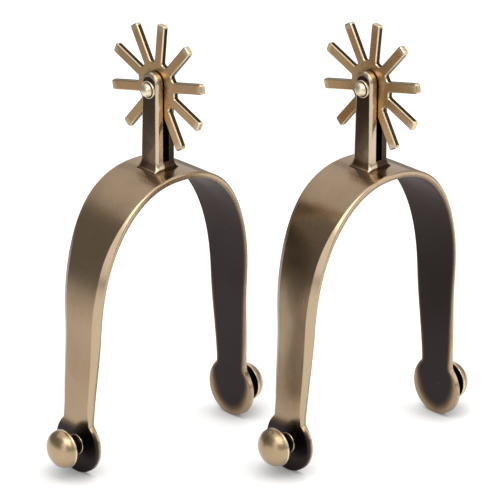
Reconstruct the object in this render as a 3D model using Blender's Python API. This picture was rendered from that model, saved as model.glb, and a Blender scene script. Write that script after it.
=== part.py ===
"""A pair of spurs with rowels, standing on their arm pads with the rowels up.

Each spur is a flat heel band bent to a tall arch, a forked shank seated on its crown, a rowel that
spins on a riveted pin, and a domed strap button on the outside of each arm pad. X runs from arm to
arm, Y across the width of the band and Z up. The origin is on the floor in the middle of the pair.
"""

import math

import bmesh
import bpy
import numpy as np
from mathutils import Vector

# How the pair stands
PAIR_SPACING_X = 0.0631
PAIR_SPACING_Y = 0.0545

# Heel band: an arch on two arms that taper to round pads
HEEL_INSIDE_WIDTH = 0.0770
BAND_THICKNESS = 0.0026
SHOULDER_HEIGHT = 0.0610
ARCH_RISE = 0.0575
ARCH_ROUNDNESS = 2.25
ARM_FLARE = 0.0017
CROWN_WIDTH = 0.0270
NECK_WIDTH = 0.0152
TAPER_START = 0.0300
TAPER_EASE = 0.0120
CROWN_BEVEL = 0.0008
ARM_BEVEL = 0.0030
NECK_BEVEL = 0.0015
PAD_BEVEL = 0.0005
BEVEL_DEPTH_SHARE = 0.55
BEVEL_GROWTH_START = 0.0200
BEVEL_GROWTH_END = 0.0550
BEVEL_WANE_START = 0.0750
BEVEL_WANE_END = 0.1120
PAD_DIAMETER = 0.0240
FOOT_FLAT = 0.0046

# Rowel: a hub with square-ended points
ROWEL_DIAMETER = 0.0525
ROWEL_POINTS = 10
ROWEL_THICKNESS = 0.0025
POINT_WIDTH = 0.0042
TIP_CORNER = 0.0009
HUB_DIAMETER = 0.0208
ROWEL_BEVEL = 0.0005
ROWEL_TURN = math.radians(13.0)

# Shank: a forked post whose foot flares out over the crown
TINE_THICKNESS = 0.0032
TINE_WIDTH = 0.0088
SHANK_ROOT_WIDTH = 0.0098
TINE_END_ABOVE_AXIS = 0.0025
SLOT_FLOOR_ABOVE_CROWN = 0.0030
POINT_ABOVE_SLOT_FLOOR = 0.00375
SEAT_FLARE = 0.0018
SEAT_FLARE_HEIGHT = 0.0036
SHANK_BEVEL = 0.0007

# Rowel pin: a rivet with a stepped, domed head at each end
PIN_DIAMETER = 0.0040
PIN_HEAD_DIAMETER = 0.0072
PIN_RIM_THICKNESS = 0.0010
PIN_DOME_DIAMETER = 0.0060
PIN_DOME_HEIGHT = 0.0023

# Strap buttons: a domed head on a neck, with a tenon in a blind socket in the pad
BUTTON_DIAMETER = 0.0158
BUTTON_RIM_THICKNESS = 0.0008
BUTTON_DOME_HEIGHT = 0.0056
BUTTON_NECK_DIAMETER = 0.0070
BUTTON_NECK_LENGTH = 0.0060
TENON_DIAMETER = 0.0044
TENON_LENGTH = 0.0012

# Clearances
SEAT_GAP = 0.0003
PIN_CLEARANCE = 0.0003
ROWEL_SIDE_CLEARANCE = 0.0004

# Finishes: base colour and roughness
BAND_FINISH = ((0.36, 0.26, 0.17), 0.32)
SHANK_FINISH = ((0.22, 0.16, 0.10), 0.34)
ROWEL_FINISH = ((0.34, 0.24, 0.14), 0.36)
PIN_FINISH = ((0.58, 0.53, 0.38), 0.28)
BUTTON_FINISH = ((0.48, 0.36, 0.22), 0.26)

# How finely the curves are faceted
ARCH_STEPS = 16
ARM_STEPS = 6
PAD_STEPS = 12
TURN_STEPS = 28
TIP_STEPS = 7
FLARE_STEPS = 4
DOME_STEPS = 6
HUB_ARC_STEPS = 3
TIP_END_ANGLE = math.radians(80.0)
SHARP_ANGLE = math.radians(30.0)
WELD_DISTANCE = 0.000001
OVERCUT = 0.0020
EMPTY_SIZE = 0.0100

# Places that follow from the sizes above
SHOULDER_HALF_SPAN = HEEL_INSIDE_WIDTH / 2 + BAND_THICKNESS
PAD_PLANE = SHOULDER_HALF_SPAN + ARM_FLARE
PAD_RADIUS = PAD_DIAMETER / 2
PAD_HEIGHT = math.sqrt(PAD_RADIUS**2 - (FOOT_FLAT / 2) ** 2)
NECK_HEIGHT = PAD_HEIGHT + math.sqrt(PAD_RADIUS**2 - (NECK_WIDTH / 2) ** 2)
CROWN_HEIGHT = SHOULDER_HEIGHT + ARCH_RISE
SLOT_FLOOR = CROWN_HEIGHT + SLOT_FLOOR_ABOVE_CROWN
AXIS_HEIGHT = SLOT_FLOOR + POINT_ABOVE_SLOT_FLOOR + ROWEL_DIAMETER / 2
FORK_SLOT = ROWEL_THICKNESS + 2 * ROWEL_SIDE_CLEARANCE
FORK_HALF_WIDTH = FORK_SLOT / 2 + TINE_THICKNESS


def clear_scene():
    for old in list(bpy.data.objects):
        bpy.data.objects.remove(old)


def metal(name, finish):
    """A plain metallic Principled material."""
    colour, roughness = finish
    made = bpy.data.materials.new(name)
    made.use_nodes = True
    shader = made.node_tree.nodes["Principled BSDF"]
    shader.inputs["Base Color"].default_value = (*colour, 1.0)
    shader.inputs["Metallic"].default_value = 1.0
    shader.inputs["Roughness"].default_value = roughness
    return made


def lofted_mesh(name, rings):
    """A closed solid through rings of as many points each, with a flat face on both ends."""
    bm = bmesh.new()
    loops = [[bm.verts.new(point) for point in ring] for ring in rings]
    for first, second in zip(loops, loops[1:]):
        for i in range(len(first)):
            j = (i + 1) % len(first)
            bm.faces.new((first[i], first[j], second[j], second[i]))
    bm.faces.new(loops[0])
    bm.faces.new(loops[-1])
    return finished_mesh(name, bm)


def turned_mesh(name, profile):
    """The solid that a profile of (along X, radius) points sweeps round X; both its ends are on X."""
    bm = bmesh.new()
    verts = [bm.verts.new((along, 0.0, radius)) for along, radius in profile]
    edges = [bm.edges.new(pair) for pair in zip(verts, verts[1:])]
    bmesh.ops.spin(
        bm,
        geom=verts + edges,
        axis=(1.0, 0.0, 0.0),
        cent=(0.0, 0.0, 0.0),
        angle=math.tau,
        steps=TURN_STEPS,
        use_merge=True,
    )
    bmesh.ops.remove_doubles(bm, verts=bm.verts, dist=WELD_DISTANCE)
    return finished_mesh(name, bm)


def finished_mesh(name, bm):
    bmesh.ops.recalc_face_normals(bm, faces=bm.faces)
    mesh = bpy.data.meshes.new(name)
    bm.to_mesh(mesh)
    bm.free()
    mesh.shade_smooth()
    mesh.set_sharp_from_angle(angle=SHARP_ANGLE)
    return mesh


def carved(mesh, cutters):
    """The mesh less each cutter mesh, cut one after the other."""
    work = bpy.data.objects.new(mesh.name + "_blank", mesh)
    bpy.context.collection.objects.link(work)
    helpers = [work]
    for cutter in cutters:
        tool = bpy.data.objects.new(cutter.name, cutter)
        tool.hide_render = True
        tool.display_type = "WIRE"
        bpy.context.collection.objects.link(tool)
        helpers.append(tool)
        cut = work.modifiers.new(cutter.name, "BOOLEAN")
        cut.operation = "DIFFERENCE"
        cut.object = tool
    graph = bpy.context.evaluated_depsgraph_get()
    result = bpy.data.meshes.new_from_object(work.evaluated_get(graph))
    result.name = mesh.name
    for helper in helpers:
        bpy.data.objects.remove(helper)
    return result


def box_mesh(name, low, high):
    ends = [[(x, y, z) for x, y in rectangle(low, high)] for z in (low[2], high[2])]
    return lofted_mesh(name, ends)


def rectangle(low, high):
    return ((low[0], low[1]), (high[0], low[1]), (high[0], high[1]), (low[0], high[1]))


def rod_mesh(name, diameter, start, end, height=0.0):
    """A round rod along X from start to end, with its axis at this height."""
    radius = diameter / 2
    rod = turned_mesh(name, ((start, 0.0), (start, radius), (end, radius), (end, 0.0)))
    for vert in rod.vertices:
        vert.co.z += height
    return rod


def arch_stations():
    """(outside point, outward normal) from crown to shoulder: a superellipse in X and Z."""
    stations = []
    for turn in np.linspace(0.0, math.pi / 2, ARCH_STEPS + 1):
        across = math.sin(turn) ** (2 / ARCH_ROUNDNESS)
        up = max(math.cos(turn), 0.0) ** (2 / ARCH_ROUNDNESS)
        normal = Vector(
            (
                across ** (ARCH_ROUNDNESS - 1) / SHOULDER_HALF_SPAN,
                up ** (ARCH_ROUNDNESS - 1) / ARCH_RISE,
            )
        )
        point = Vector((SHOULDER_HALF_SPAN * across, SHOULDER_HEIGHT + ARCH_RISE * up))
        stations.append((point, normal.normalized()))
    return stations


def arm_stations():
    """The straight run from below the shoulder to the pad's neck, easing out by the flare."""
    stations = []
    for share in np.linspace(0.0, 1.0, ARM_STEPS + 1)[1:]:
        eased = share * share * (3 - 2 * share)
        height = SHOULDER_HEIGHT + (NECK_HEIGHT - SHOULDER_HEIGHT) * share
        stations.append((Vector((SHOULDER_HALF_SPAN + ARM_FLARE * eased, height)), Vector((1.0, 0.0))))
    return stations


def pad_stations():
    """(height, half width) round the pad's rim, from just below its neck to the flat of its foot."""
    neck_angle = math.asin((NECK_HEIGHT - PAD_HEIGHT) / PAD_RADIUS)
    foot_angle = -math.asin(PAD_HEIGHT / PAD_RADIUS)
    angles = np.linspace(neck_angle, foot_angle, PAD_STEPS + 1)[1:]
    rim = [(PAD_HEIGHT + PAD_RADIUS * math.sin(a), PAD_RADIUS * math.cos(a)) for a in angles]
    rim[-1] = (0.0, FOOT_FLAT / 2)
    return rim


def half_width(run, neck_run):
    """Half the band's width after this run from the crown's middle: level, then an even taper."""

    def eased(distance):
        return (distance + math.hypot(distance, TAPER_EASE)) / 2 - TAPER_EASE / 2

    level = eased(-TAPER_START)
    share = (eased(run - TAPER_START) - level) / (eased(neck_run - TAPER_START) - level)
    return (CROWN_WIDTH + (NECK_WIDTH - CROWN_WIDTH) * share) / 2


def bevel_width(run):
    """Width of the outside bevel after this run from the crown's middle: narrow on the crown, widest below the
    shoulder and narrower again towards the neck."""

    def eased(start, end):
        share = min(max((run - start) / (end - start), 0.0), 1.0)
        return share * share * (3 - 2 * share)

    grown = CROWN_BEVEL + (ARM_BEVEL - CROWN_BEVEL) * eased(BEVEL_GROWTH_START, BEVEL_GROWTH_END)
    return grown + (NECK_BEVEL - ARM_BEVEL) * eased(BEVEL_WANE_START, BEVEL_WANE_END)


def band_section(point, normal, half, widest_bevel, grow):
    """Six corners across the bar: its outside face, the bevels beside it, and its inside face."""
    bevel = min(widest_bevel, half / 2)
    bevel_foot = bevel * BEVEL_DEPTH_SHARE
    corners = []
    for depth, reach in ((-grow, half - bevel), (bevel_foot, half), (BAND_THICKNESS, half)):
        at = point - normal * depth
        corners.append((at.x, reach + grow, at.y))
    return corners + [(x, -y, z) for x, y, z in reversed(corners)]


def band_rings(grow=0.0):
    """Sections of the whole band from the foot at -X over the crown to the foot at +X."""
    curve = arch_stations() + arm_stations()
    points = [point for point, _ in curve]
    runs = np.cumsum([0.0] + [(b - a).length for a, b in zip(points, points[1:])])
    half = [
        band_section(point, normal, half_width(run, runs[-1]), bevel_width(run), grow)
        for (point, normal), run in zip(curve, runs)
    ]
    for height, reach in pad_stations():
        half.append(band_section(Vector((PAD_PLANE, height)), Vector((1.0, 0.0)), reach, PAD_BEVEL, grow))
    other = [[(-x, y, z) for x, y, z in ring] for ring in reversed(half[1:])]
    return other + half


def heel_band_mesh():
    """The arched bar with a blind socket for a button's tenon in the outside of each pad."""
    bottom = PAD_PLANE - TENON_LENGTH - SEAT_GAP
    mouth = PAD_PLANE + OVERCUT
    bore = TENON_DIAMETER + 2 * SEAT_GAP
    sockets = [
        rod_mesh("socket_inner", bore, bottom, mouth, PAD_HEIGHT),
        rod_mesh("socket_outer", bore, -mouth, -bottom, PAD_HEIGHT),
    ]
    return carved(lofted_mesh("heel_band", band_rings()), sockets)


def shank_outline():
    """(height, half width along X, half width along Y) from below the seat to the tines' round ends."""
    tip_centre = AXIS_HEIGHT + TINE_END_ABOVE_AXIS
    levels = [(CROWN_HEIGHT - BAND_THICKNESS / 2, SEAT_FLARE)]
    for share in np.linspace(0.0, 1.0, FLARE_STEPS + 1):
        hollow = 1.0 - math.sqrt(1.0 - (1.0 - share) ** 2)
        levels.append((CROWN_HEIGHT + SEAT_FLARE_HEIGHT * share, SEAT_FLARE * hollow))
    root = SHANK_ROOT_WIDTH / 2
    outline = [(height, FORK_HALF_WIDTH + flare, root + flare) for height, flare in levels]
    radius = TINE_WIDTH / 2
    for turn in np.linspace(0.0, TIP_END_ANGLE, TIP_STEPS + 1):
        height = tip_centre + radius * math.sin(turn)
        outline.append((height, FORK_HALF_WIDTH, radius * math.cos(turn)))
    return outline


def shank_ring(height, half_x, half_y):
    """A rectangle with its four corners cut off."""
    cut = min(SHANK_BEVEL, half_y / 2)
    quarter = [(half_x, half_y - cut), (half_x - cut, half_y)]
    corners = quarter + [(-x, y) for x, y in reversed(quarter)]
    corners += [(-x, -y) for x, y in corners]
    return [(x, y, height) for x, y in corners]


def shank_mesh():
    """The post, less the crown it sits on, the rowel's slot and the pin's hole."""
    post = lofted_mesh("shank", [shank_ring(*level) for level in shank_outline()])
    saddle = lofted_mesh("saddle", band_rings(SEAT_GAP))
    reach = TINE_WIDTH + OVERCUT
    top = AXIS_HEIGHT + TINE_END_ABOVE_AXIS + reach
    slot = box_mesh("slot", (-FORK_SLOT / 2, -reach, SLOT_FLOOR), (FORK_SLOT / 2, reach, top))
    side = FORK_HALF_WIDTH + OVERCUT
    hole = rod_mesh("pin_hole", PIN_DIAMETER + 2 * PIN_CLEARANCE, -side, side, AXIS_HEIGHT)
    return carved(post, [saddle, slot, hole])


def rowel_outline(inset):
    """(Y, Z) points round the rowel, drawn in by this much, with the corners of its tips cut off."""
    hub = HUB_DIAMETER / 2 - inset
    tip = ROWEL_DIAMETER / 2 - inset
    half = POINT_WIDTH / 2 - inset
    root_angle = math.asin(half / hub)
    step = math.tau / ROWEL_POINTS
    corner = min(TIP_CORNER, half / 2)
    tip_corners = ((corner, -half), (0.0, corner - half), (0.0, half - corner), (corner, half))
    outline = []
    for index in range(ROWEL_POINTS):
        along = Vector((math.cos(index * step), math.sin(index * step)))
        across = Vector((-along.y, along.x))
        for out, aside in tip_corners:
            outline.append(along * (tip - out) + across * aside)
        for angle in np.linspace(root_angle, step - root_angle, HUB_ARC_STEPS + 1):
            turn = index * step + angle
            outline.append(Vector((math.cos(turn), math.sin(turn))) * hub)
    return outline


def rowel_mesh():
    """The rowel centred on its axis, its faces beveled all round, bored to spin on the pin."""
    half = ROWEL_THICKNESS / 2
    edge = half - ROWEL_BEVEL
    layers = ((-half, ROWEL_BEVEL), (-edge, 0.0), (edge, 0.0), (half, ROWEL_BEVEL))
    rings = [[(x, *point) for point in rowel_outline(inset)] for x, inset in layers]
    bore = rod_mesh("rowel_bore", PIN_DIAMETER + 2 * PIN_CLEARANCE, -half - OVERCUT, half + OVERCUT)
    return carved(lofted_mesh("rowel", rings), [bore])


def dome(start, radius, height):
    """A quarter ellipse from (start, radius) to the axis."""
    turns = np.linspace(0.0, math.pi / 2, DOME_STEPS + 1)[:-1]
    rise = [(start + height * math.sin(turn), radius * math.cos(turn)) for turn in turns]
    return rise + [(start + height, 0.0)]


def pin_mesh():
    """The rivet: its shaft through the fork and a stepped, domed head outside each tine."""
    seat = FORK_HALF_WIDTH + SEAT_GAP
    rim = seat + PIN_RIM_THICKNESS
    half = [(seat, PIN_DIAMETER / 2), (seat, PIN_HEAD_DIAMETER / 2), (rim, PIN_HEAD_DIAMETER / 2)]
    half += dome(rim, PIN_DOME_DIAMETER / 2, PIN_DOME_HEIGHT)
    return turned_mesh("rowel_pin", [(-x, r) for x, r in reversed(half)] + half)


def button_mesh():
    """A strap button with its neck's seat at x = 0 and its head towards +X."""
    tenon = TENON_DIAMETER / 2
    neck = BUTTON_NECK_DIAMETER / 2
    rim = BUTTON_NECK_LENGTH + BUTTON_RIM_THICKNESS
    profile = [(-TENON_LENGTH, 0.0), (-TENON_LENGTH, tenon), (SEAT_GAP, tenon), (SEAT_GAP, neck)]
    head = BUTTON_DIAMETER / 2
    profile += [(BUTTON_NECK_LENGTH, neck), (BUTTON_NECK_LENGTH, head - BUTTON_RIM_THICKNESS)]
    profile += dome(rim, head, BUTTON_DOME_HEIGHT)
    return turned_mesh("strap_button", profile)


def empty(name, parent=None, location=(0.0, 0.0, 0.0)):
    made = bpy.data.objects.new(name, None)
    made.empty_display_size = EMPTY_SIZE
    made.parent = parent
    made.location = location
    bpy.context.collection.objects.link(made)
    return made


def place(name, mesh, finish, parent, location=(0.0, 0.0, 0.0), rotation=(0.0, 0.0, 0.0)):
    """A named sub-part that shares this mesh."""
    if not mesh.materials:
        mesh.materials.append(finish)
    made = bpy.data.objects.new(name, mesh)
    made.parent = parent
    made.location = location
    made.rotation_euler = rotation
    bpy.context.collection.objects.link(made)
    return made


def main():
    clear_scene()
    band = heel_band_mesh()
    shank = shank_mesh()
    rowel = rowel_mesh()
    pin = pin_mesh()
    button = button_mesh()
    band_brass = metal("band_brass", BAND_FINISH)
    shank_brass = metal("shank_brass", SHANK_FINISH)
    rowel_brass = metal("rowel_brass", ROWEL_FINISH)
    pin_brass = metal("pin_brass", PIN_FINISH)
    button_brass = metal("button_brass", BUTTON_FINISH)
    for side, across in (("left", -1), ("right", 1)):
        place_at = (across * PAIR_SPACING_X / 2, -across * PAIR_SPACING_Y / 2, 0.0)
        stand = empty(f"{side}_spur", location=place_at)
        axle = empty(f"{side}_rowel_axis", stand, (0.0, 0.0, AXIS_HEIGHT))
        place(f"{side}_heel_band", band, band_brass, stand)
        place(f"{side}_shank", shank, shank_brass, stand)
        place(f"{side}_rowel", rowel, rowel_brass, axle, rotation=(-ROWEL_TURN, 0.0, 0.0))
        place(f"{side}_rowel_pin", pin, pin_brass, axle)
        for button_side, out in (("outer", across), ("inner", -across)):
            turned = (0.0, 0.0, 0.0 if out > 0 else math.pi)
            seat = (out * PAD_PLANE, 0.0, PAD_HEIGHT)
            place(f"{side}_{button_side}_button", button, button_brass, stand, seat, turned)


main()
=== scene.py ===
import math

import bmesh
import bpy
import numpy as np
from mathutils import Matrix, Vector


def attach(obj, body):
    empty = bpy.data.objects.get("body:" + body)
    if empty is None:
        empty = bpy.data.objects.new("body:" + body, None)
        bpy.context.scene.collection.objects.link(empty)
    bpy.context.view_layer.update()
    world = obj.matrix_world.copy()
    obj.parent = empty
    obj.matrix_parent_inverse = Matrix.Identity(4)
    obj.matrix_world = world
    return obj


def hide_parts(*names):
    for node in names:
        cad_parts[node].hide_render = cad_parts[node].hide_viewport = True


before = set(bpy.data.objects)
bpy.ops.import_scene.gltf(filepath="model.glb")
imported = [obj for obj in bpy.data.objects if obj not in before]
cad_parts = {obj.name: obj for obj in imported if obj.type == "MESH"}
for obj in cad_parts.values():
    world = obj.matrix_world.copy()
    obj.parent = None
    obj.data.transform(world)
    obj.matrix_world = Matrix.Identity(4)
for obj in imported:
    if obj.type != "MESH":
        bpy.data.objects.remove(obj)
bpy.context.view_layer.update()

MM = 0.001

# Where each spur stands, and which way its outer arm points
SPURS = {"left": (-31.55, 27.25, -1.0), "right": (31.55, -27.25, 1.0)}

# Heel band, in millimetres
SHOULDER_HALF_SPAN = 41.1
SHOULDER_HEIGHT = 61.0
ARCH_RISE = 57.5
ARCH_ROUNDNESS = 2.25
ARM_FLARE = 1.7
CROWN_WIDTH = 27.0
NECK_WIDTH = 15.2
TAPER_START = 30.0
TAPER_EASE = 12.0
BAND_THICKNESS = 2.6
CROWN_BEVEL = 0.8
ARM_BEVEL = 3.0
NECK_BEVEL = 1.5
PAD_BEVEL = 0.5
BEVEL_DEPTH_SHARE = 0.55
BEVEL_GROWTH_START = 20.0
BEVEL_GROWTH_END = 55.0
BEVEL_WANE_START = 75.0
BEVEL_WANE_END = 112.0
BAND_CROSS_CROWN = 0.10
BAND_SOFTNESS = 0.30
PAD_RADIUS = 12.0
PAD_HEIGHT = 11.7775
NECK_FILLET = 0.35
NECK_BLEND_REACH = 6.0
NECK_BLEND_EASE = 5.0
NECK_ZONE = 5.0
PAD_BEVEL_RANGE = (-9.0, 1.0)
PAD_START_RANGE = (0.0, 3.0)
INSIDE_FACE_RANGE = (-0.45, -0.05)
OUTLINE_STEPS = 2500
PAD_PLANE = SHOULDER_HALF_SPAN + ARM_FLARE
NECK_HEIGHT = PAD_HEIGHT + math.sqrt(PAD_RADIUS**2 - (NECK_WIDTH / 2) ** 2)
CROWN_HEIGHT = SHOULDER_HEIGHT + ARCH_RISE

# Wear, soot and painted light on the heel band. A range goes from none to full, in millimetres or as a share
# across the side wall
FRONT_RANGE = (1.5, -1.5)
FAR_ARM_RANGE = (-10.0, 10.0)
EDGE_RUB_WIDTH = 0.45
EDGE_RUB_WALL_LOSS = 0.75
# Share of the edge brightness kept on the back (+Y) edges: painted shade on the back edges and painted
# highlight on the front ones, over the rubbed wear
BACK_EDGE_SHADED_RUB = 0.15
# Painted light on the pads: the rim keeps its brightness only at its upper front and is painted in shade
# below, and the side walls are painted lit or in shade by where they face, a near pad otherwise than a far
# one
LIT_RIM_FRONT = 0.9
LIT_RIM_UP = 0.45
LIT_RIM_FULL = 0.6
NEAR_PAD_LIT_EDGE_RANGE = (0.45, 0.85)
NEAR_PAD_LIT_RANGE = (0.1, 0.9)
FAR_PAD_LIT_RANGE = (0.0, 0.3)
PAD_SOOT_RANGE = (12.4, 3.9)
ABOVE_PAD_RANGE = (24.0, 16.0)
INNER_EDGE_RANGE = (0.35, 0.90)
INNER_EDGE_SOOT = 0.6
LINING_LEAST_MARGIN = 0.4
LINING_FRONT_MARGIN = 2.0
LINING_BACK_MARGIN = 1.9
LINING_BACK_RANGE = (60.0, 90.0)
LINING_PAD_MARGIN = 5.2
LINING_PAD_FRONT_LOSS = 0.6
LINING_PAD_RANGE = (8.0, -3.0)
LINING_REACH = 1.2
# Painted glints: pale specks along the front bevel around a given run from the crown
PAINTED_GLINT_WIDTH = 1.6
PAINTED_GLINT_RUN = 40.0
PAINTED_GLINT_LENGTH = 15.0

# Forked shank
FORK_HALF_WIDTH = 4.85
TINE_THICKNESS = 3.2
SLOT_HALF_WIDTH = FORK_HALF_WIDTH - TINE_THICKNESS
SLOT_FLOOR = CROWN_HEIGHT + 3.0
AXIS_HEIGHT = 151.5
TIP_CENTRE = AXIS_HEIGHT + 2.5
TINE_HALF_DEPTH = 4.4
ROOT_HALF_DEPTH = 4.9
TINE_EDGE = 0.9
SLOT_EDGE = 0.12
FOOT_SPREAD = 1.8
FOOT_SPREAD_HEIGHT = 3.6
PIN_HOLE_RADIUS = 2.3
SLOT_ROOT = 5.0
SLOT_LAG = 4.5

# Wear, soot and painted light on the shank: three ranges over the share of depth from the outside to the
# slot, and one along X past which the far side is painted in shade
FORK_OUTSIDE_RANGE = (0.06, 0.0)
FORK_SIDE_RANGE = (0.985, 0.965)
FORK_SLOT_RANGE = (0.97, 1.0)
FORK_SHADED_RANGE = (-1.9, -1.3)
SHADED_SIDE_RUB = 0.25
FORK_RUB_WIDTH = 0.3
FORK_EDGE_RUB = 0.7
# Painted light: the tines' outside faces are painted less dark towards their lower front, up to this share of
# the height and by this share
LIT_FOOT_TOP = 0.7
LIT_FOOT_LOSS = 0.5

# Rowel
ROWEL_POINTS = 10
ROWEL_RADIUS = 26.23
POINT_HALF_WIDTH = 2.1
POINT_CORNER = 1.25
HUB_RADIUS = 10.4
ROWEL_HALF_THICKNESS = 1.25
ROWEL_BEVEL = 0.40
ROWEL_BORE_RADIUS = 2.3
ROWEL_TURN = math.radians(13.0)
ROWEL_RING = 1.4 * ROWEL_BEVEL
ROWEL_SOFTNESS = 0.2
TIP_LENGTH = 3.2
FACE_DEPTH = 0.02
RING_RUB = 0.3
# Painted shade: the sides between the points go dark over this depth in from a face, in millimetres
ROWEL_WALL_RANGE = (0.38, 0.58)
TIP_RUB_RANGE = (-1.6, -0.2)
# Painted shade on the hub, where it sits between the tines, over this range of radius
HUB_SHADE_RANGE = (9.5, 4.5)

# Rowel pin and strap buttons
PIN_RADIUS = 2.0
PIN_SEAT = FORK_HALF_WIDTH + 0.02
PIN_RIM_RADIUS = 3.6
PIN_RIM_THICKNESS = 1.0
PIN_DOME_RADIUS = 3.0
PIN_DOME_HEIGHT = 2.3
PIN_SOFTNESS = 0.12
BUTTON_SEAT = 0.02
BUTTON_NECK_LENGTH = 6.0
BUTTON_RIM_THICKNESS = 0.95
BUTTON_HEIGHT = 12.38
BUTTON_DOME_RADIUS = 7.75
BUTTON_COLLAR_RADIUS = 4.3
BUTTON_NECK_RADIUS = 3.5
BUTTON_RIM_RADIUS = 7.88
BUTTON_SOFTNESS = 0.25

# Depth of the satin grain, and the studio, in metres
GRAIN_DEPTH = 0.00015
FLOOR_REACH = 6.0
POOL_MIDDLE = (0.05, -0.45, 0.0)
POOL_RADIUS = 0.55
POOL_EDGE = 1.05
POOL_OUTSIDE = 0.22
FLOOR_GLOW = 0.54
FLOOR_TONE = (0.80, 0.80, 0.80, 1.0)
CONTACT_REACH = 0.013
CONTACT_SHADE = 0.32
DARK_SIDE = (-0.55, 0.75, 0.30)
SURROUND_GREY = (0.50, 0.50, 0.49, 1.0)
SURROUND_DARK = (0.25, 0.24, 0.23, 1.0)
SPUR_MIDDLE = (0.0, 0.0, 0.09)
WARM_LIGHT = (1.0, 0.98, 0.95)
SOFT_LIGHT = (1.0, 0.99, 0.97)
WHITE_LIGHT = (1.0, 1.0, 1.0)
COOL_LIGHT = (0.96, 0.96, 1.0)

# Kinds of node socket, and the distance under which points are one
FLOAT = "NodeSocketFloat"
COLOUR = "NodeSocketColor"
VECTOR = "NodeSocketVector"
WELD_DISTANCE = 1e-7


def unit(vectors):
    """Each row divided by its length."""
    return vectors / np.linalg.norm(vectors, axis=-1, keepdims=True)


def along(points):
    """Length run from the first point of a polyline to each of its points."""
    steps = np.linalg.norm(np.diff(points, axis=0), axis=1)
    return np.concatenate([[0.0], np.cumsum(steps)])


def sampled(stations, run, line):
    """Points of a line in the plane at the given runs along it, by straight interpolation."""
    return np.stack([np.interp(stations, run, line[:, 0]), np.interp(stations, run, line[:, 1])], axis=1)


def softened(corners, radius, steps=5):
    """Polylines with their inner corners softened: near a corner the line leaves the leg a radius before
    it, or just under half the leg where that is less, and follows the parabola that the two legs touch."""
    corners = np.asarray(corners, float)
    middle = corners[..., 1:-1, :]
    before = corners[..., :-2, :] - middle
    after = corners[..., 2:, :] - middle
    reach_before = np.minimum(radius, 0.45 * np.linalg.norm(before, axis=-1))[..., None]
    reach_after = np.minimum(radius, 0.45 * np.linalg.norm(after, axis=-1))[..., None]
    start = (middle + unit(before) * reach_before)[..., None, :]
    end = (middle + unit(after) * reach_after)[..., None, :]
    share = np.linspace(0.0, 1.0, steps)[:, None]
    bends = (1 - share) ** 2 * start + 2 * share * (1 - share) * middle[..., None, :] + share**2 * end
    bends = bends.reshape(*corners.shape[:-2], -1, corners.shape[-1])
    return np.concatenate([corners[..., :1, :], bends, corners[..., -1:, :]], axis=-2)


def smooth_step(share):
    """0 below 0, 1 above 1 and 3s^2 - 2s^3 between."""
    share = np.clip(share, 0.0, 1.0)
    return share * share * (3.0 - 2.0 * share)


def eased_in(value, start, end):
    """0 at the start of a range and 1 at its end, with a smooth step between. The range may run downwards."""
    return smooth_step((value - start) / (end - start))


def piece(name, points, attributes, closed_rows=False):
    """Mesh object from a grid of points in metres: neighbours on the grid make its faces, the last column
    joins the first, closed rows join likewise, and lines that have shrunk to a point are welded into a
    pole."""
    rows, columns = points.shape[:2]
    index = np.arange(rows * columns).reshape(rows, columns)
    if closed_rows:
        index = np.concatenate([index, index[:1]])
    index = np.concatenate([index, index[:, :1]], axis=1)
    corners = [index[:-1, :-1], index[1:, :-1], index[1:, 1:], index[:-1, 1:]]
    faces = np.stack(corners, axis=-1).reshape(-1, 4)
    mesh = bpy.data.meshes.new(name)
    mesh.from_pydata(points.reshape(-1, 3).tolist(), [], faces.tolist())
    for label, values in attributes.items():
        layer = mesh.attributes.new(label, "FLOAT", "POINT")
        spread = np.broadcast_to(values, (rows, columns)).astype(np.float32)
        layer.data.foreach_set("value", spread.ravel())
    shell = bmesh.new()
    shell.from_mesh(mesh)
    bmesh.ops.remove_doubles(shell, verts=shell.verts, dist=WELD_DISTANCE)
    bmesh.ops.dissolve_degenerate(shell, edges=shell.edges, dist=WELD_DISTANCE)
    bmesh.ops.recalc_face_normals(shell, faces=shell.faces)
    shell.to_mesh(mesh)
    shell.free()
    mesh.shade_smooth()
    made = bpy.data.objects.new(name, mesh)
    bpy.context.scene.collection.objects.link(made)
    return made


def face_weighted(made):
    """Shading normals that follow the broad faces, so that flats stay flat up to their softened edges."""
    weight = made.modifiers.new("flat_faces", "WEIGHTED_NORMAL")
    weight.mode = "FACE_AREA"
    weight.keep_sharp = False


def crown_height(x):
    """Height of the arch's outside over a point x off its middle: the superellipse solved for height."""
    share = np.clip(np.abs(x) / SHOULDER_HALF_SPAN, 0.0, 1.0)
    return SHOULDER_HEIGHT + ARCH_RISE * (1.0 - share**ARCH_ROUNDNESS) ** (1.0 / ARCH_ROUNDNESS)


def band_path():
    """Outside line of half the band from the crown down one arm, as run, x and z: a quarter superellipse x
    = a sin(t)^(2/n), z = zs + rise cos(t)^(2/n), then the arm easing outwards by the flare, then the
    upright pad."""
    turn = np.linspace(0.0, math.pi / 2, 1500)
    arch_x = SHOULDER_HALF_SPAN * np.sin(turn) ** (2.0 / ARCH_ROUNDNESS)
    arch_z = SHOULDER_HEIGHT + ARCH_RISE * np.clip(np.cos(turn), 0.0, 1.0) ** (2.0 / ARCH_ROUNDNESS)
    share = np.linspace(0.0, 1.0, 300)[1:]
    arm_x = SHOULDER_HALF_SPAN + ARM_FLARE * smooth_step(share)
    arm_z = SHOULDER_HEIGHT + (NECK_HEIGHT - SHOULDER_HEIGHT) * share
    pad_z = np.linspace(NECK_HEIGHT, -1.0, 200)[1:]
    pad_x = np.full_like(pad_z, PAD_PLANE)
    x = np.concatenate([arch_x, arm_x, pad_x])
    z = np.concatenate([arch_z, arm_z, pad_z])
    line = np.stack([x, z], axis=1)
    return along(line), line


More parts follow.
